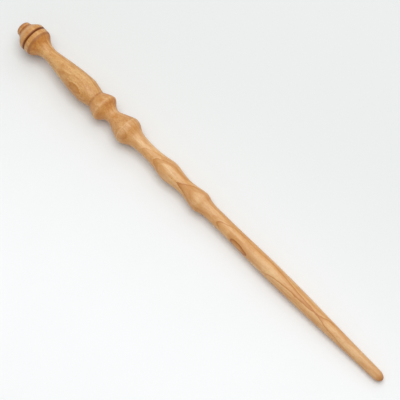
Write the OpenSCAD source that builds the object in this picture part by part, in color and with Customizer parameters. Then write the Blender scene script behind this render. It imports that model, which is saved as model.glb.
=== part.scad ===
// Magic wand turned from hardwood, in three glued pieces: a pommel knob, a handle and a shaft.
// It lies along X with its tip towards +X, and the origin is on its axis at the middle of the grip.
// Every value named ..._at is a distance along the wand from the end of its knob.

/* [Overall] */
// Length of the wand, from the end of its knob to its tip
wand_len = 355; // [335:5:400]

/* [Pommel knob] */
// Diameter of the domed button at the end
button_d = 11.3; // [10.5:0.1:12.5]
// Height of the button's dome
dome_h = 2.9; // [2:0.1:3.4]
// Length of the button, down to the crease behind it
button_len = 4.1; // [3.8:0.1:4.6]
// Diameter of the knob at its rim
rim_d = 21.3; // [19:0.1:24]
// Where the rim is widest
rim_at = 11.6; // [10.5:0.1:12.5]
// Where the knob meets the handle
knob_joint_at = 14.2; // [13.5:0.1:15.5]
// Width of the scorched groove around that joint
groove_w = 1; // [0.6:0.1:1.4]
// Depth of the scorched groove
groove_depth = 0.6; // [0.3:0.1:1]

/* [Handle] */
// Diameter of the flat band behind the knob
band_d = 21; // [19:0.1:24]
// Length of the flat band
band_len = 4.2; // [3:0.1:5]
// Diameter of the handle at its thin neck
grip_neck_d = 10; // [9:0.1:12]
// Where the thin neck is
grip_neck_at = 32.6; // [30:0.1:35]
// Diameter of the handle where it is fullest
grip_d = 18; // [15:0.1:20]
// Where the handle is fullest
grip_full_at = 67.8; // [64:0.1:69]
// Where the handle meets the shaft
shaft_joint_at = 78.8; // [77:0.1:80]
// Diameter at the bottom of the vee between handle and shaft
shaft_joint_d = 13.7; // [12.5:0.1:15]

/* [Beads] */
// Diameter of the first bead
bead_1_d = 20.5; // [18:0.1:23]
// Where the first bead's ridge is
bead_1_at = 87.4; // [86.5:0.1:88.5]
// Diameter of the neck between the beads
bead_neck_d = 10.4; // [9.5:0.1:13]
// Where the neck between the beads is
bead_neck_at = 96.8; // [95:0.1:98]
// Diameter of the second bead
bead_2_d = 20; // [18:0.1:23]
// Where the second bead's ridge is
bead_2_at = 110.6; // [109:0.1:112]

/* [Swells] */
// Diameter of the waist after the second bead
waist_1_d = 10.2; // [9:0.1:12]
// Where that waist is thinnest
waist_1_at = 132; // [129:0.5:135]
// Diameter of the first swell
swell_1_d = 14.6; // [12.5:0.1:17]
// Where the first swell is fullest
swell_1_at = 153.2; // [150:0.1:156]
// Diameter of the waist between the swells
waist_2_d = 11.1; // [9.5:0.1:12]
// Where that waist is thinnest
waist_2_at = 169.4; // [167:0.1:172]
// Diameter of the second swell
swell_2_d = 14.9; // [12.5:0.1:17]
// Where the second swell is fullest
swell_2_at = 184; // [181:0.1:186]

/* [Long shaft] */
// Diameter of the straight stretch after the second swell
shaft_d = 10.6; // [9:0.1:12]
// Where the straight stretch starts
shaft_at = 196.5; // [194:0.5:199]
// Length of the straight stretch
shaft_straight = 12; // [5:1:20]
// Diameter of the long shaft where it is fullest
belly_d = 11.8; // [11:0.1:13]
// Where the long shaft is fullest
belly_at = 253; // [240:1:270]
// Diameter of the tip where its rounding starts
tip_d = 7.2; // [6:0.1:9]
// Length of the rounded end
tip_round = 6; // [4:0.1:9]

/* [Joints] */
// Diameter of the knob's tenon
knob_tenon_d = 7; // [5:0.1:8]
// Length of the knob's tenon
knob_tenon_len = 8; // [6:0.1:9]
// Diameter of the shaft's tenon
shaft_tenon_d = 8; // [6:0.1:9]
// Length of the shaft's tenon
shaft_tenon_len = 24; // [15:1:26]
// Gap for glue all round a tenon
glue_gap = 0.05; // [0.02:0.01:0.1]
// Extra depth of a socket past the end of its tenon
socket_room = 0.5; // [0.2:0.1:1]
// Bevel on the end of a tenon
tenon_bevel = 0.6; // [0.3:0.1:1]

/* [Hidden] */

$fn = 96;
// Straight steps in each curve between two stations
curve_steps = 8;
// Degrees in each step of a rounded end
round_step = 10;
wood = [0.80, 0.56, 0.32];

origin_at = (grip_neck_at + shaft_joint_at) / 2;
band_end_at = knob_joint_at + band_len;
// Height of the small step where the band meets the bell
bell_step = 0.2;
// Diameter lost between the knob's rim and its groove, and along the band
rim_fall = 0.2;
band_fall = 0.1;

// A station of the turned outline: where it is, its radius, and the outline's slope there.
function station(at, d, slope = 0) = [at, d / 2, slope];

// A station between two others, "along" of the way in length and "across" of the way in radius.
function between(a, b, along, across, slope) =
    [a[0] + (b[0] - a[0]) * along, a[1] + (b[1] - a[1]) * across, slope];

// A point of the smooth cubic curve from station a to station b, at t from 0 to 1.
function curve_point(a, b, t) =
    let (span = b[0] - a[0])
    [
        a[0] + span * t,
        a[1] * (1 + 2 * t) * pow(1 - t, 2)
            + a[2] * span * t * pow(1 - t, 2)
            + b[1] * t * t * (3 - 2 * t)
            - b[2] * span * t * t * (1 - t)
    ];

// The smooth line through a list of stations.
function turned(stations) =
    let (last = len(stations) - 1)
    [
        for (i = [0 : last - 1], k = [0 : curve_steps - 1])
            curve_point(stations[i], stations[i + 1], k / curve_steps),
        [stations[last][0], stations[last][1]]
    ];

// Stations named for the part of the outline that they are on. At a crest or a waist the
// outline is level, and at the other stations it leans by the slope given.
rim = station(rim_at, rim_d);
bell_start = station(band_end_at + bell_step, band_d - 2 * bell_step, slope = -0.12);
grip_neck = station(grip_neck_at, grip_neck_d);
grip_full = station(grip_full_at, grip_d, slope = 0.02);
handle_end = station(shaft_joint_at, shaft_joint_d, slope = -0.26);
shaft_start = station(shaft_joint_at, shaft_joint_d, slope = 0.33);
bead_1 = station(bead_1_at, bead_1_d, slope = 0.12);
bead_neck = station(bead_neck_at, bead_neck_d);
bead_2 = station(bead_2_at, bead_2_d);
waist_1 = station(waist_1_at, waist_1_d);
swell_1 = station(swell_1_at, swell_1_d);
waist_2 = station(waist_2_at, waist_2_d);
swell_2 = station(swell_2_at, swell_2_d);
shaft_run = station(shaft_at, shaft_d);
straight_end = station(shaft_at + shaft_straight, shaft_d);
belly = station(belly_at, belly_d);
tip_start = station(wand_len - tip_round, tip_d, slope = -0.012);

module lathe(outline) {
    translate([-origin_at, 0, 0])
        rotate([0, 90, 0])
            rotate_extrude()
                polygon([for (p = outline) [p[1], p[0]]]);
}

// Half-outline of a round tenon that starts at "at" and points along the wand by "reach".
function tenon(at, d, reach) =
    let (way = sign(reach))
    [
        [at, d / 2],
        [at + reach - way * tenon_bevel, d / 2],
        [at + reach, d / 2 - tenon_bevel],
        [at + reach, 0]
    ];

// Half-outline of the blind socket for such a tenon, from the axis to the mouth.
function socket(at, d, reach) =
    let (bottom = at + reach + sign(reach) * socket_room, r = d / 2 + glue_gap)
    [[bottom, 0], [bottom, r], [at, r]];

function reversed(points) = [for (i = [len(points) - 1 : -1 : 0]) points[i]];

module pommel_knob() {
    dome = [
        for (a = [0 : round_step : 90 - round_step])
            [dome_h * (1 - cos(a)), button_d / 2 * sin(a)]
    ];
    button_side = [[dome_h, button_d / 2]];
    crease = station(button_len, button_d, slope = 0.52);
    groove_edge = station(knob_joint_at - groove_w / 2, rim_d - rim_fall, slope = -0.06);
    groove_bottom = [[knob_joint_at, band_d / 2 - groove_depth]];
    color(wood)
        lathe(concat(
            dome,
            button_side,
            turned([crease, rim, groove_edge]),
            groove_bottom,
            tenon(knob_joint_at, knob_tenon_d, knob_tenon_len)
        ));
}

module handle() {
    groove = [
        [knob_joint_at, band_d / 2 - groove_depth],
        [knob_joint_at + groove_w / 2, band_d / 2],
        [band_end_at, (band_d - band_fall) / 2]
    ];
    bell = between(bell_start, grip_neck, along = 0.28, across = 0.49, slope = -0.74);
    grip_rise = between(grip_neck, grip_full, along = 0.13, across = 0.15, slope = 0.145);
    grip_turn = between(grip_full, handle_end, along = 0.33, across = 0.2, slope = -0.22);
    color(wood)
        lathe(concat(
            groove,
            turned([bell_start, bell, grip_neck, grip_rise, grip_full, grip_turn, handle_end]),
            reversed(socket(shaft_joint_at, shaft_tenon_d, -shaft_tenon_len)),
            socket(knob_joint_at, knob_tenon_d, knob_tenon_len)
        ));
}

module shaft() {
    bead_1_back = between(bead_1, bead_neck, along = 0.09, across = 0.04, slope = -0.4);
    bead_1_fall = between(bead_1, bead_neck, along = 0.49, across = 0.62, slope = -0.78);
    cone_start = between(bead_neck, bead_2, along = 0.2, across = 0.14, slope = 0.39);
    cone_end = between(bead_neck, bead_2, along = 0.87, across = 0.91, slope = 0.34);
    bead_2_back = between(bead_2, waist_1, along = 0.14, across = 0.09, slope = -0.32);
    bead_2_fall = between(bead_2, waist_1, along = 0.29, across = 0.44, slope = -0.62);
    bead_2_foot = between(bead_2, waist_1, along = 0.56, across = 0.86, slope = -0.15);
    swell_1_rise = between(waist_1, swell_1, along = 0.6, across = 0.42, slope = 0.15);
    swell_1_fall = between(swell_1, waist_2, along = 0.5, across = 0.6, slope = -0.17);
    swell_2_rise = between(waist_2, swell_2, along = 0.5, across = 0.45, slope = 0.17);
    swell_2_fall = between(swell_2, shaft_run, along = 0.38, across = 0.6, slope = -0.25);
    tip = [
        for (a = [round_step : round_step : 90])
            [tip_start[0] + tip_round * sin(a), tip_d / 2 * cos(a)]
    ];
    color(wood)
        lathe(concat(
            reversed(tenon(shaft_joint_at, shaft_tenon_d, -shaft_tenon_len)),
            turned([
                shaft_start, bead_1, bead_1_back, bead_1_fall, bead_neck,
                cone_start, cone_end, bead_2, bead_2_back, bead_2_fall, bead_2_foot,
                waist_1, swell_1_rise, swell_1, swell_1_fall,
                waist_2, swell_2_rise, swell_2, swell_2_fall,
                shaft_run, straight_end, belly, tip_start
            ]),
            tip
        ));
}

pommel_knob();
handle();
shaft();
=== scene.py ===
"""A magic wand turned from pale hardwood, lying on a pale floor in soft studio light.

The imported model's three turned nodes give the outline. Each is turned again here as a fine mesh with
softened edges, and gets a solid wood material whose growth layers run right through the piece.
Lengths are in metres, and in the material, where a name or a comment says mm, in millimetres.
"""

import math

import bpy
import numpy as np
from mathutils import Matrix, Vector, noise


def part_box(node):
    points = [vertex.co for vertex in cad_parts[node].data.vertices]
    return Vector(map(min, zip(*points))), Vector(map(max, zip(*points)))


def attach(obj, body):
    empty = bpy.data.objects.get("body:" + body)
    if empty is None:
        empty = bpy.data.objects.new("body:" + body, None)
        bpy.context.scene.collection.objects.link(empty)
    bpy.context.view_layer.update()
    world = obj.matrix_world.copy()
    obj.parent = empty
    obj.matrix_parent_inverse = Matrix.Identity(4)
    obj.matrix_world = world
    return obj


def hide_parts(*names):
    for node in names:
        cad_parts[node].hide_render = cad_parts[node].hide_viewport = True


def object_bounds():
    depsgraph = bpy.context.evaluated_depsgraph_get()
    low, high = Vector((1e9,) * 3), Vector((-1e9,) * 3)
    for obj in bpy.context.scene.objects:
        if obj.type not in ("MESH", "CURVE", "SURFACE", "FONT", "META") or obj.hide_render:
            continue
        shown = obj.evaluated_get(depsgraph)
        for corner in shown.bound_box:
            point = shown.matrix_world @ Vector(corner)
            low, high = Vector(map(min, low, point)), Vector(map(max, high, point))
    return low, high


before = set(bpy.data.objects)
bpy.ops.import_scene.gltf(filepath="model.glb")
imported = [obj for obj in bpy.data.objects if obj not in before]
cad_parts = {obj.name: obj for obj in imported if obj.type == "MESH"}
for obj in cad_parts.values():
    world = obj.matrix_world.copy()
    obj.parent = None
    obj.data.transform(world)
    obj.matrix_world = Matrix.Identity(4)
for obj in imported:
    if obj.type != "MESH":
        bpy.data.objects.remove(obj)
cad_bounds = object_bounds()

MM = 0.001
NODES = ("pommel_knob", "handle", "shaft")

# The scorched groove is where the handle starts.
groove_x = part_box("handle")[0].x

# Turning: rings along the outline, points round each ring, and the softness of a crisp corner.
RING_STEP = 0.45 * MM
RING_POINTS = 96
CRISP_TURN = math.radians(22)
CORNER_ROUND = 0.10 * MM
CORNER_STEPS = 4
SAME_POINT = 0.02 * MM

# The wand's outside as one curve: its step along X, and how widely its average nearby is taken.
PROFILE_STEP = 0.1 * MM
RELIEF_REACH = 1.2 * MM

# Hand sanding: the surface is never higher than the outline, and lower by up to this much.
OVALNESS = 0.05 * MM
SHRINK_FACING = math.radians(37)
SANDED_LOW = 0.05 * MM
# How fast the sanding changes along the wand, per metre, and round it.
SANDING_ALONG = 60
SANDING_ROUND = 0.9
# A point deeper than this below the outside belongs to a tenon or a socket, and isn't sanded.
SKIN = 0.3 * MM


# ---------------------------------------------------------------- outlines and turned meshes

def outline_of(node):
    """Half-outline of a turned CAD node: (x, radius) points from one end of its axis to the other.

    Every vertex is on a ring round X, and an edge between two rings joins neighbours in the outline.
    """
    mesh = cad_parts[node].data
    ring_of = []
    points = {}
    for vertex in mesh.vertices:
        point = (vertex.co.x, math.hypot(vertex.co.y, vertex.co.z))
        ring = (round(point[0], 5), round(point[1], 5))
        points.setdefault(ring, point)
        ring_of.append(ring)
    neighbours = {ring: set() for ring in points}
    for edge in mesh.edges:
        a, b = (ring_of[i] for i in edge.vertices)
        if a != b:
            neighbours[a].add(b)
            neighbours[b].add(a)
    here = min(ring for ring in neighbours if len(neighbours[ring]) == 1)
    seen = {here}
    outline = [points[here]]
    while neighbours[here] - seen:
        here = min(neighbours[here] - seen, key=lambda ring: math.dist(ring, outline[-1]))
        seen.add(here)
        if math.dist(points[here], outline[-1]) > SAME_POINT:
            outline.append(points[here])
    return closed_on_axis(outline)


def closed_on_axis(outline):
    """The outline with both ends brought to the axis, running towards +X along its outside."""
    ends = [[], []]
    for end, (x, radius) in zip(ends, (outline[0], outline[-1])):
        if radius > SAME_POINT:
            end.append((x, 0.0))
    points = np.array(ends[0] + outline + ends[1])
    points[[0, -1], 1] = 0
    x, radius = points.T
    area = np.sum((x[1:] - x[:-1]) * (radius[1:] + radius[:-1]))
    return points if area > 0 else points[::-1]


def turn_at(before, here, after):
    """Angle by which an outline turns at a point."""
    a, b = here - before, after - here
    return abs(math.atan2(a[0] * b[1] - a[1] * b[0], a @ b))


def runs_of(outline):
    """The outline's stretches between crisp corners, neighbours sharing the corner."""
    corners = [0]
    for i in range(1, len(outline) - 1):
        if turn_at(*outline[i - 1 : i + 2]) > CRISP_TURN:
            corners.append(i)
    corners.append(len(outline) - 1)
    return [outline[a : b + 1] for a, b in zip(corners, corners[1:])]


def beyond(end, inner):
    """A point past a run's end: its mirror image where the run meets the axis, else straight on."""
    if end[1] == 0 and len(inner) > 1:
        return inner[1] * (1, -1)
    return 2 * end - inner[1]


def smooth_run(run):
    """Fine points along the smooth curve through a run."""
    guided = np.vstack([beyond(run[0], run), run, beyond(run[-1], run[::-1])])
    gaps = np.linalg.norm(np.diff(guided, axis=0), axis=1)
    chords = np.diff(guided, axis=0) / gaps[:, None]
    before, after = gaps[:-1, None], gaps[1:, None]
    tangents = (chords[:-1] * after + chords[1:] * before) / (before + after)
    points = []
    for a, b, leave, arrive in zip(run[:-1], run[1:], tangents[:-1], tangents[1:]):
        length = math.dist(a, b)
        steps = max(1, round(length / RING_STEP))
        t = np.arange(steps)[:, None] / steps
        points.append(
            a * (1 + 2 * t) * (1 - t) ** 2
            + leave * length * t * (1 - t) ** 2
            + b * t**2 * (3 - 2 * t)
            - arrive * length * t**2 * (1 - t)
        )
    return np.vstack(points + [run[-1:]])


def rounded_corner(before, corner, after):
    """A few points that round a crisp corner off between its neighbours."""
    reach = min(CORNER_ROUND, 0.4 * math.dist(before, corner), 0.4 * math.dist(corner, after))
    start = corner + (before - corner) / math.dist(before, corner) * reach
    end = corner + (after - corner) / math.dist(after, corner) * reach
    t = np.linspace(0, 1, CORNER_STEPS)[:, None]
    return start * (1 - t) ** 2 + corner * 2 * t * (1 - t) + end * t**2


def fine_outline(outline):
    """The outline as a fine smooth curve whose crisp corners are slightly rounded."""
    runs = [smooth_run(run) for run in runs_of(outline)]
    pieces = [runs[0][:-1]]
    for run, next_run in zip(runs, runs[1:]):
        pieces.append(rounded_corner(run[-2], run[-1], next_run[1]))
        pieces.append(next_run[1:-1])
    pieces.append(runs[-1][-1:])
    return np.vstack(pieces)


def wand_profile(outlines):
    """The wand's outside as one curve: even steps of x, and the largest radius of any piece there."""
    low = min(outline[:, 0].min() for outline in outlines)
    high = max(outline[:, 0].max() for outline in outlines)
    x = np.arange(low, high, PROFILE_STEP)
    radius = np.zeros_like(x)
    for outline in outlines:
        for (x0, r0), (x1, r1) in zip(outline, outline[1:]):
            inside = (x >= min(x0, x1)) & (x <= max(x0, x1))
            if x1 != x0:
                along = (x[inside] - x0) / (x1 - x0)
                radius[inside] = np.maximum(radius[inside], r0 + (r1 - r0) * along)
    return x, radius


def relief_of(profile):
    """How far the outside stands above (or, below zero, under) its own average nearby, along x."""
    x, radius = profile
    step = x[1] - x[0]
    half = round(3 * RELIEF_REACH / step)
    weights = np.exp(-0.5 * (np.arange(-half, half + 1) * step / RELIEF_REACH) ** 2)
    padded = np.pad(radius, half, mode="edge")
    return radius - np.convolve(padded, weights / weights.sum(), mode="valid")


def sanded(x, radius, angle):
    """Radius after the wood has moved a little and been sanded by hand."""
    oval = OVALNESS * math.sin(angle - SHRINK_FACING) ** 2
    place = (x * SANDING_ALONG, math.cos(angle) * SANDING_ROUND, math.sin(angle) * SANDING_ROUND)
    return radius - oval - SANDED_LOW * (0.5 + 0.5 * noise.noise(Vector(place)))


def ring_at(x, radius, outside):
    """Vertices of one ring round X, sanded where it is on the wand's outside."""
    vertices = []
    for k in range(RING_POINTS):
        angle = 2 * math.pi * k / RING_POINTS
        r = sanded(x, radius, angle) if outside else radius
        vertices.append((x, -r * math.sin(angle), r * math.cos(angle)))
    return vertices


def pairs_round(ring):
    """Pairs of neighbouring vertices, all the way round a ring."""
    start = ring * RING_POINTS
    return [(start + k, start + (k + 1) % RING_POINTS) for k in range(RING_POINTS)]


def turned_faces(rings):
    """Faces from ring to ring, then a fan from each end ring to that end's centre vertex."""
    faces = []
    for ring in range(rings - 1):
        faces += [(a, a + RING_POINTS, b + RING_POINTS, b) for a, b in pairs_round(ring)]
    first_centre = rings * RING_POINTS
    last_centre = first_centre + 1
    faces += [(a, b, first_centre) for a, b in pairs_round(0)]
    faces += [(b, a, last_centre) for a, b in pairs_round(rings - 1)]
    return faces


def turned_mesh(name, outline, profile, relief):
    """Mesh of an outline turned round X, with the relief of the wand's outside on every vertex."""
    profile_x, profile_radius = profile
    vertices, heights = [], []
    for x, radius in outline[1:-1]:
        outside = np.interp(x, profile_x, profile_radius) - radius < SKIN
        height = np.interp(x, profile_x, relief) / MM if outside else 0.0
        vertices += ring_at(x, radius, outside)
        heights += [height] * RING_POINTS
    for end in (outline[0], outline[-1]):
        vertices.append((end[0], 0.0, 0.0))
        heights.append(0.0)
    mesh = bpy.data.meshes.new(name)
    mesh.from_pydata(vertices, [], turned_faces(len(outline) - 2))
    mesh.attributes.new("relief_mm", "FLOAT", "POINT").data.foreach_set("value", heights)
    mesh.shade_smooth()
    mesh.validate()
    return mesh


# ---------------------------------------------------------------- shader nodes

def srgb(red, green, blue):
    """A colour given in 0 to 255 display values, as the shader wants it."""
    values = [c / 255 for c in (red, green, blue)]
    linear = [c / 12.92 if c <= 0.04045 else ((c + 0.055) / 1.055) ** 2.4 for c in values]
    return (*linear, 1.0)


class Shader:
    """A material's node tree. Most methods add one node and return its output."""

    def __init__(self, name):
        self.material = bpy.data.materials.new(name)
        self.material.use_nodes = True
        self.nodes = self.material.node_tree.nodes
        self.nodes.clear()

    def add(self, kind, inputs, **settings):
        """Add a node, link or set its inputs, and return the node itself."""
        node = self.nodes.new("ShaderNode" + kind)
        for setting, value in settings.items():
            setattr(node, setting, value)
        for socket, value in inputs.items():
            if isinstance(value, bpy.types.NodeSocket):
                self.material.node_tree.links.new(value, node.inputs[socket])
            else:
                node.inputs[socket].default_value = value
        return node

    def math(self, operation, a, b=0.0):
        return self.add("Math", {0: a, 1: b}, operation=operation).outputs[0]

    def plus(self, a, b):
        return self.math("ADD", a, b)

    def times(self, a, b):
        return self.math("MULTIPLY", a, b)

    def object_mm(self):
        """Place on the object, in millimetres."""
        place = self.add("TexCoord", {}).outputs["Object"]
        return self.stretched(place, (1 / MM,) * 3)

    def stretched(self, vector, factors):
        return self.add("VectorMath", {0: vector, 1: factors}, operation="MULTIPLY").outputs[0]

    def along(self, vector, direction):
        """How far a vector reaches along a direction."""
        inputs = {0: vector, 1: direction}
        return self.add("VectorMath", inputs, operation="DOT_PRODUCT").outputs["Value"]

    def noise(self, vector, detail=2.0, roughness=0.5):
        inputs = {"Vector": vector, "Scale": 1.0, "Detail": detail, "Roughness": roughness}
        return self.add("TexNoise", inputs).outputs[0]

    def rise(self, value, low, high, to_low=0.0, to_high=1.0):
        """Value carried smoothly from low..high to to_low..to_high."""
        inputs = {"Value": value, 1: low, 2: high, 3: to_low, 4: to_high}
        return self.add("MapRange", inputs, interpolation_type="SMOOTHSTEP").outputs[0]

    def mix(self, factor, a, b, blend="MIX"):
        node = self.add("Mix", {0: factor, 6: a, 7: b}, data_type="RGBA", blend_type=blend)
        return node.outputs[2]

    def finish(self, shader):
        """Put a shader on the surface, and return the material."""
        output = self.nodes.new("ShaderNodeOutputMaterial")
        self.material.node_tree.links.new(shader, output.inputs["Surface"])
        return self.material


# ---------------------------------------------------------------- the wood's growth layers

# How the growth layers lie along the wand. Each row is a place along X in mm, how far the layers
# have drifted outwards there in mm, and which way round the axis they face, in degrees from +Z
# towards -Y. The arches and ovals on the surface come from these rows and the wand's outline.
# The rows were set one arch after another, to put those where the photograph has them.
LAYER_RUN = [
    (-56, -6.0, 45),
    (-23, -4.3, 48),
    (-8, -3.6, 50),
    (0, -3.0, 50),
    (7, -2.2, 50),
    (13, -2.95, 49),
    (20, -3.7, 48),
    (33, -6.5, 42),
    (55, -5.6, 46),
    (66, -3.4, 40),
    (84, 0.3, 33),
    (108, 4.5, 35),
    (121, 6.9, 15),
    (148, 11.8, 33),
    (157, 14.2, 40),
    (162, 17.3, 62),
    (168, 18.3, 73),
    (175, 17.5, 69),
    (183, 15.8, 52),
    (190, 14.6, 34),
    (204, 12.2, 6),
    (213, 11.8, 5),
    (222, 11.7, 9),
    (231, 11.7, 10),
    (238, 11.7, 8),
    (244, 12.2, 4),
    (249, 13.2, 0),
    (270, 15.0, 5),
    (300, 17.0, 10),
]

# How much the layers drop away to each side of where they face, which draws their arches to a point.
PINCH = 0.08

# What makes the layers uneven: a noise's stretch per mm, its detail, and how far it moves them in mm.
LAYER_NOISES = [
    ((0.05, 0.16, 0.16), 1.0, 0.8),
    ((0.15, 0.6, 0.6), 2.0, 0.5),
]

# Dark growth lines. Each row is the depth in the plank in mm where a line starts, how dark it starts,
# the width in mm over which it fades, and how dark the wood then stays up to the next line. A row
# without darkness only ends the line before it.
GROWTH_LINES = [
    (-20.0, 0.7, 0.9, 0),
    (-17.2, 0.5, 0.8, 0),
    (-14.6, 0.8, 0.9, 0),
    (-12.0, 0.5, 0.7, 0),
    (-9.3, 0.7, 1.0, 0),
    (-6.8, 0.5, 0.8, 0),
    (-4.2, 0.5, 0.9, 0),
    (-1.9, 0.3, 0.8, 0),
    (0.7, 0.2, 0.9, 0),
    (3.0, 0.35, 1.4, 0),
    (4.95, 0.8, 0.2, 0),
    (5.8, 0.55, 0.35, 0.27),
    (7.5, 0, 0.8, 0),
    (10.1, 0.95, 0.35, 0.25),
    (12.4, 0.33, 4.0, 0),
    (13.4, 0.15, 1.0, 0.15),
    (15.8, 0.3, 0.8, 0),
    (16.8, 0.72, 0.42, 0),
    (22.5, 1.6, 0.6, 0),
]
DEPTH_LOW, DEPTH_HIGH = -24.0, 26.0


def curve_along(shader, x, places, values):
    """A value that follows a smooth curve through the given values at places along X."""
    low, high = min(values), max(values)
    start, span = places[0], places[-1] - places[0]
    share = shader.times(shader.plus(x, -start), 1 / span)
    node = shader.add("FloatCurve", {"Value": share})
    points = node.mapping.curves[0].points
    while len(points) < len(places):
        points.new(0.5, 0.5)
    for point, place, value in zip(points, places, values):
        point.location = ((place - start) / span, (value - low) / (high - low))
    node.mapping.update()
    return shader.plus(shader.times(node.outputs[0], high - low), low)


def layer_depth(shader, place, x):
    """Depth in the plank of a place on the wand, in mm, measured across the growth layers."""
    places, drifts, facings = zip(*LAYER_RUN)
    drift = curve_along(shader, x, places, drifts)
    facing = curve_along(shader, x, places, [math.radians(facing) for facing in facings])
    sine, cosine = shader.math("SINE", facing), shader.math("COSINE", facing)
    outward = shader.add("CombineXYZ", {1: shader.times(sine, -1.0), 2: cosine}).outputs[0]
    sideways = shader.add("CombineXYZ", {1: cosine, 2: sine}).outputs[0]
    aside = shader.math("ABSOLUTE", shader.along(place, sideways))
    depth = shader.plus(shader.along(place, outward), drift)
    depth = shader.plus(depth, shader.times(aside, -PINCH))
    for stretch, detail, reach in LAYER_NOISES:
        swing = shader.plus(shader.noise(shader.stretched(place, stretch), detail), -0.5)
        depth = shader.plus(depth, shader.times(swing, reach))
    return depth


def growth_lines(shader, depth):
    """Darkness of the growth lines: each starts sharply at its own depth and fades as depth grows.

    A stepped colour ramp holds, for the last line that the depth is past, where it starts, how dark,
    over what width it fades, and in its alpha how dark the wood stays.
    """
    span = DEPTH_HIGH - DEPTH_LOW
    share = shader.times(shader.plus(depth, -DEPTH_LOW), 1 / span)
    ramp = shader.add("ValToRGB", {0: share})
    ramp.color_ramp.interpolation = "CONSTANT"
    stops = ramp.color_ramp.elements
    stops.remove(stops[1])
    stops[0].color = (0, 0, 1, 0)
    widest = max(fade for _, _, fade, _ in GROWTH_LINES)
    for place, darkness, fade, after in GROWTH_LINES:
        start = (place - DEPTH_LOW) / span
        stops.new(start).color = (start, darkness - after, fade / widest, after)
    start, darkness, fade = shader.add("SeparateColor", {0: ramp.outputs[0]}).outputs
    past = shader.times(shader.math("SUBTRACT", share, start), span / widest)
    fading = shader.math("EXPONENT", shader.times(shader.math("DIVIDE", past, fade), -1.0))
    return shader.plus(shader.times(darkness, fading), ramp.outputs["Alpha"])


# ---------------------------------------------------------------- the oiled wood

PALE = srgb(237, 194, 141)
HONEY = srgb(223, 170, 108)
AMBER = srgb(197, 131, 63)
LATE_WOOD = srgb(156, 82, 14)
FLECK = srgb(170, 104, 48)
END_GRAIN = (0.84, 0.64, 0.34, 1)
# Painted shade, multiplied into the hollows.
HOLLOW_SHADE = srgb(140, 98, 50)
SCORCHED = srgb(132, 68, 8)
# Brown of the joint line, and painted shade in creases and on the wand's ends.
BROWN_AND_SHADE = srgb(148, 78, 18)
HANDLED = srgb(190, 132, 74)

# Noise patterns in the wood: stretch per mm along X, Y and Z, detail and roughness.
PATTERNS = {
    "broad": ((0.02, 0.2, 0.2), 2.0, 0.5),
    "cloud": ((0.07, 0.3, 0.3), 3.0, 0.5),
    "fibre": ((0.05, 1.5, 1.5), 3.0, 0.6),
    "blotch": ((0.2, 0.35, 0.35), 2.0, 0.5),
    "speckle": ((0.65, 1.2, 1.2), 2.0, 0.7),
    "pores": ((0.9, 7.0, 7.0), 1.0, 0.5),
    "turning": ((2.2, 0.02, 0.02), 2.0, 0.5),
}

# Layers of colour over PALE, the undermost first: the pattern that each follows, the values of it
# where the layer starts and where it is full, its strength, its colour, and whether it is a fleck.
# "depth" is the depth in the plank in mm, and "lines" is the darkness of the growth lines.
COLOUR_LAYERS = [
    ("broad", 0.38, 0.62, 1.0, HONEY, False),
    ("cloud", 0.45, 0.70, 0.45, AMBER, False),
    ("fibre", 0.40, 0.75, 0.35, AMBER, False),
    ("blotch", 0.48, 0.64, 0.5, AMBER, True),
    ("blotch", 0.46, 0.34, 0.3, PALE, True),
    ("speckle", 0.52, 0.68, 0.6, FLECK, True),
    ("speckle", 0.47, 0.34, 0.6, PALE, True),
    ("pores", 0.60, 0.75, 0.30, FLECK, False),
    ("depth", 19.3, 22.2, 0.6, AMBER, False),
    ("lines", 0.0, 0.5, 0.8, AMBER, False),
    ("lines", 0.2, 1.1, 0.85, LATE_WOOD, False),
]
# Flecks are bold up to the second bead, and faint from a little past it. Places are in mm along X.
BOLD_TO, FAINT_FROM = 54, 66
BOLD, FAINT = 0.65, 0.3

# Marks round the wand, in mm from the groove: middle, half width, soft edge, strength, colour. Besides
# the scorched groove and the dark joint line, they include painted shade and painted light.
MARKS = [
    (-0.2, 0.6, 1.1, 1.0, SCORCHED),
    # Painted shade in the crease where the band meets the bell.
    (4.9, 0.4, 1.4, 0.65, BROWN_AND_SHADE),
    (65.4, 0.3, 1.1, 0.4, BROWN_AND_SHADE),
    # Painted shade on the knob's end dome.
    (-14.2, 2.4, 1.6, 0.55, BROWN_AND_SHADE),
    # Painted shade in the crease between the knob's button and its flare.
    (-9.3, 0.5, 0.9, 0.6, BROWN_AND_SHADE),
    # Painted light on the knob's flare beside its crease.
    (-5.6, 0.9, 1.8, 0.45, PALE),
    # Painted highlight along the second bead's ridge.
    (96.0, 0.2, 0.8, 0.45, PALE),
    (83.0, 13.0, 16.0, 0.15, HANDLED),
    (343, 4.0, 60.0, 0.35, HANDLED),
    # Painted shade on the tip's end.
    (342.5, 1.5, 4.5, 0.35, BROWN_AND_SHADE),
]
# How much the speckle frays the edge of a mark, in mm.
FRAYED = 0.3

# End grain starts to show, and shows in full, where the surface faces along the wand this much.
END_GRAIN_FROM, END_GRAIN_FULL = 0.08, 0.72

# Crests and hollows: the relief in mm where each starts to show and where it is full, and its strength
# there. Crests are paler, as wear and a painted highlight; hollows are darker, as painted shade.
WORN_AND_HIGHLIT_CREST = (0.05, 0.5, 0.35)
SHADED_HOLLOW = (0.1, 1.2, 0.4)

# Fine relief of the surface: how far each pattern raises it, in mm.
SURFACE_RELIEF = {"pores": -0.010, "fibre": -0.008, "turning": 0.006}

# The oiled surface is rougher where the speckle is strong, and on end grain.
SMOOTHEST, ROUGHEST = 0.38, 0.50
SMOOTH_SPECKLE, ROUGH_SPECKLE = 0.3, 0.75
END_GRAIN_ROUGHER = 0.08
OIL_SPECULAR = 0.35
OIL_COAT, OIL_COAT_ROUGHNESS = 0.15, 0.3


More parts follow.
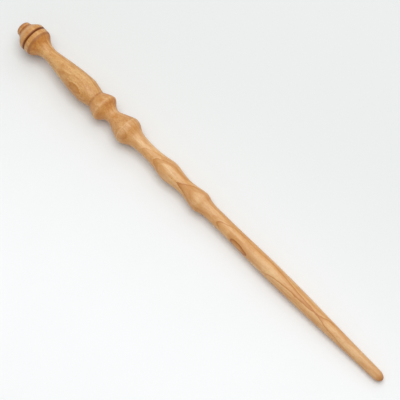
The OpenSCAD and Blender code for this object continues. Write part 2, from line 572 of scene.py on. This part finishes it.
def bare_wood(shader, x, patterns):
    """Colour of the wood before any finish, painted layer over layer."""
    fleckiness = shader.rise(x, BOLD_TO, FAINT_FROM, BOLD, FAINT)
    colour = PALE
    for pattern, start, full, strength, tint, is_fleck in COLOUR_LAYERS:
        share = shader.rise(patterns[pattern], start, full, 0.0, strength)
        if is_fleck:
            share = shader.times(share, fleckiness)
        colour = shader.mix(share, colour, tint)
    return colour


def end_grain(shader):
    """How much end grain shows: none along the wand's sides, and full on its ends."""
    normal = shader.add("TexCoord", {}).outputs["Normal"]
    end_facing = shader.math("ABSOLUTE", shader.along(normal, (1, 0, 0)))
    return shader.rise(end_facing, END_GRAIN_FROM, END_GRAIN_FULL)


def crests_and_hollows(shader, colour):
    """The colour, paler on crests, as wear and a painted highlight, and darker in hollows, as painted
    shade.
    """
    relief = shader.add("Attribute", {}, attribute_name="relief_mm").outputs["Fac"]
    # Crests: paler, as wear and a painted highlight.
    start, full, strength = WORN_AND_HIGHLIT_CREST
    worn_and_highlit = shader.rise(relief, start, full, 0.0, strength)
    colour = shader.mix(worn_and_highlit, colour, PALE)
    # Hollows: darker, as painted shade.
    start, full, strength = SHADED_HOLLOW
    hollow_shading = shader.rise(shader.times(relief, -1.0), start, full, 0.0, strength)
    return shader.mix(hollow_shading, colour, HOLLOW_SHADE, "MULTIPLY")


def marked(shader, colour, x, speckle):
    """The colour with the marks that go round the wand, painted shade and painted light among them."""
    for middle, half_width, soft_edge, strength, tint in MARKS:
        away = shader.math("ABSOLUTE", shader.plus(x, -groove_x / MM - middle))
        frayed = shader.plus(away, shader.times(speckle, FRAYED))
        share = shader.rise(frayed, half_width, half_width + soft_edge, strength, 0.0)
        colour = shader.mix(share, colour, tint)
    return colour


def fine_relief(shader, patterns):
    """Normal of a surface with open pores, sunken fibres and faint turning rings."""
    height = 0.0
    for pattern, raised in SURFACE_RELIEF.items():
        height = shader.plus(height, shader.times(patterns[pattern], raised))
    return shader.add("Bump", {"Height": height, "Strength": 1.0, "Distance": MM}).outputs[0]


def wood(name, patina):
    """Oiled hardwood, tinted by a patina colour."""
    shader = Shader(name)
    place = shader.object_mm()
    x = shader.along(place, (1, 0, 0))
    patterns = {}
    for pattern, (stretch, detail, roughness) in PATTERNS.items():
        patterns[pattern] = shader.noise(shader.stretched(place, stretch), detail, roughness)
    patterns["depth"] = layer_depth(shader, place, x)
    patterns["lines"] = growth_lines(shader, patterns["depth"])
    speckle = patterns["speckle"]
    at_end = end_grain(shader)

    colour = bare_wood(shader, x, patterns)
    colour = shader.mix(1.0, colour, patina, "MULTIPLY")
    colour = shader.mix(at_end, colour, END_GRAIN, "MULTIPLY")
    # Paler crests (wear and a painted highlight) and painted shade in the hollows.
    colour = crests_and_hollows(shader, colour)
    colour = marked(shader, colour, x, speckle)

    rough = shader.rise(speckle, SMOOTH_SPECKLE, ROUGH_SPECKLE, SMOOTHEST, ROUGHEST)
    surface = shader.add("BsdfPrincipled", {
        "Base Color": colour,
        "Roughness": shader.plus(rough, shader.times(at_end, END_GRAIN_ROUGHER)),
        "Normal": fine_relief(shader, patterns),
        "Specular IOR Level": OIL_SPECULAR,
        "Coat Weight": OIL_COAT,
        "Coat Roughness": OIL_COAT_ROUGHNESS,
    })
    return shader.finish(surface.outputs[0])


# ---------------------------------------------------------------- the wand

outlines = {node: fine_outline(outline_of(node)) for node in NODES}
profile = wand_profile(list(outlines.values()))
relief = relief_of(profile)

SLOTS = {"pommel_knob": "knob_wood", "handle": "handle_wood", "shaft": "shaft_wood"}
# The whole of a piece is tinted by its patina, most at the knob and not at all on the shaft.
PATINAS = {
    "pommel_knob": (0.87, 0.785, 0.62, 1),
    "handle": (0.91, 0.86, 0.71, 1),
    "shaft": (1.0, 1.0, 1.0, 1),
}

for node in NODES:
    mesh = turned_mesh("turned_" + node, outlines[node], profile, relief)
    mesh.materials.append(wood(SLOTS[node], PATINAS[node]))
    piece = bpy.data.objects.new("turned_" + node, mesh)
    bpy.context.scene.collection.objects.link(piece)
    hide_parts(node)
    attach(piece, "root")


# ---------------------------------------------------------------- camera

# The camera looks at the wand's middle from this side, this high, and this many wand lengths away.
VIEW_AZIMUTH = math.radians(46.58)
VIEW_ELEVATION = math.radians(67.94)
VIEW_LENGTHS = 3.0
FIELD_OF_VIEW = math.radians(14.47)
FARTHEST_SEEN = 20
# The wand's middle is left of and above the picture's middle by this much.
AIM_RIGHT, AIM_DOWN = 4.21 * MM, 3.20 * MM

towards_camera = Vector((
    math.sin(VIEW_AZIMUTH) * math.cos(VIEW_ELEVATION),
    -math.cos(VIEW_AZIMUTH) * math.cos(VIEW_ELEVATION),
    math.sin(VIEW_ELEVATION),
))
screen_right = Vector((math.cos(VIEW_AZIMUTH), math.sin(VIEW_AZIMUTH), 0))
screen_up = towards_camera.cross(screen_right)
wand_length = cad_bounds[1][0] - cad_bounds[0][0]
wand_middle = Vector(((cad_bounds[0][0] + cad_bounds[1][0]) / 2, 0, 0))


def place_camera():
    camera = bpy.data.objects.new("camera", bpy.data.cameras.new("camera"))
    bpy.context.scene.collection.objects.link(camera)
    camera.data.angle = FIELD_OF_VIEW
    camera.data.clip_end = FARTHEST_SEEN
    turned = Matrix((screen_right, screen_up, towards_camera)).transposed().to_4x4()
    aim = wand_middle + screen_right * AIM_RIGHT - screen_up * AIM_DOWN
    distance = VIEW_LENGTHS * wand_length
    camera.matrix_world = Matrix.Translation(aim + towards_camera * distance) @ turned
    bpy.context.scene.camera = camera


# ---------------------------------------------------------------- floor and light

FLOOR_HALF = 3.0
# The floor is this far below the outline, because the sanded surface is a little inside it.
FLOOR_GAP = 0.05 * MM

# The card's painted shading, from darker to brighter, runs between these places, in mm from where the
# wand first touches it.
SHADED_AT, BRIGHT_AT = -90, 150
CARD_SHADED = srgb(231, 233, 231)
CARD_BRIGHT = srgb(250, 251, 251)
CARD_MOTTLE = srgb(226, 228, 228)
# The card's shading runs down the picture, and this much to its left for each step down.
SHADING_LEFT = 0.5
# The card's mottle and its tooth: how often they change per mm, and how strong they are.
MOTTLE_PER_MM, MOTTLE_DETAIL, MOTTLE_STRENGTH = 0.02, 4.0, 0.15
TOOTH_PER_MM, TOOTH_STRENGTH, TOOTH_HEIGHT = 1.3, 0.15, 0.1 * MM
CARD_ROUGHNESS = 0.7

SKY = (0.97, 0.985, 1.0, 1)
SKY_STRENGTH = 0.445


def pale_card(name):
    """Matt white card with the faint mottle of paper, and painted shade that darkens it a little from
    one side to the other.
    """
    shader = Shader(name)
    place = shader.object_mm()
    towards_bright = (-screen_right * SHADING_LEFT - screen_up).normalized()
    # Painted shade: the card is darker towards one side.
    shaded = shader.rise(shader.along(place, tuple(towards_bright)), SHADED_AT, BRIGHT_AT)
    mottle = shader.noise(shader.stretched(place, (MOTTLE_PER_MM,) * 3), MOTTLE_DETAIL)
    tooth = shader.noise(shader.stretched(place, (TOOTH_PER_MM,) * 3))
    colour = shader.mix(shaded, CARD_SHADED, CARD_BRIGHT)
    colour = shader.mix(shader.times(mottle, MOTTLE_STRENGTH), colour, CARD_MOTTLE)
    inputs = {"Height": tooth, "Strength": TOOTH_STRENGTH, "Distance": TOOTH_HEIGHT}
    surface = shader.add("BsdfPrincipled", {
        "Base Color": colour,
        "Roughness": CARD_ROUGHNESS,
        "Normal": shader.add("Bump", inputs).outputs[0],
    })
    return shader.finish(surface.outputs[0])


def left_of(a, b, c):
    """Positive where c is to the left of the line from a to b."""
    return (b[0] - a[0]) * (c[1] - a[1]) - (b[1] - a[1]) * (c[0] - a[0])


def resting_line(profile):
    """(x, z) of the two places where the wand touches what it lies on.

    They are neighbours on the hull of its underside, one on each side of its centre of mass.
    """
    x, radius = profile
    area = radius**2
    balance = np.sum(x * area) / np.sum(area)
    lower = []
    for point in zip(x, -radius):
        while len(lower) > 1 and left_of(lower[-2], lower[-1], point) <= 0:
            lower.pop()
        lower.append(point)
    for a, b in zip(lower, lower[1:]):
        if a[0] <= balance <= b[0]:
            return a, b


def lay_floor():
    """A wide card under the wand, tilted as the wand's own taper tilts it."""
    (x0, z0), (x1, z1) = resting_line(profile)
    tilt = math.atan2(z1 - z0, x1 - x0)
    half = FLOOR_HALF
    corners = [(-half, -half, 0), (half, -half, 0), (half, half, 0), (-half, half, 0)]
    mesh = bpy.data.meshes.new("floor")
    mesh.from_pydata(corners, [], [(0, 1, 2, 3)])
    mesh.materials.append(pale_card("pale_card"))
    floor = bpy.data.objects.new("floor", mesh)
    bpy.context.scene.collection.objects.link(floor)
    floor.location = (x0, 0, z0 - FLOOR_GAP)
    floor.rotation_euler = (0, -tilt, 0)


def soft_box(name, direction, distance, size, energy):
    """A large square lamp that faces the wand's middle from a direction."""
    lamp = bpy.data.lights.new(name, "AREA")
    lamp.shape = "SQUARE"
    lamp.size = size
    lamp.energy = energy
    box = bpy.data.objects.new(name, lamp)
    bpy.context.scene.collection.objects.link(box)
    box.location = wand_middle + direction.normalized() * distance
    box.rotation_euler = direction.to_track_quat("Z", "Y").to_euler()


def light_studio():
    soft_box("overhead_light", Vector((0.0, 0.0, 1.0)), distance=1.3, size=1.1, energy=8.8)
    soft_box("key_light", Vector((-0.25, 0.50, 1.0)), distance=1.3, size=1.4, energy=4.8)
    world = bpy.data.worlds.new("studio")
    world.use_nodes = True
    background = world.node_tree.nodes["Background"]
    background.inputs["Color"].default_value = SKY
    background.inputs["Strength"].default_value = SKY_STRENGTH
    bpy.context.scene.world = world
    bpy.context.scene.view_settings.view_transform = "Standard"


lay_floor()
place_camera()
light_studio()
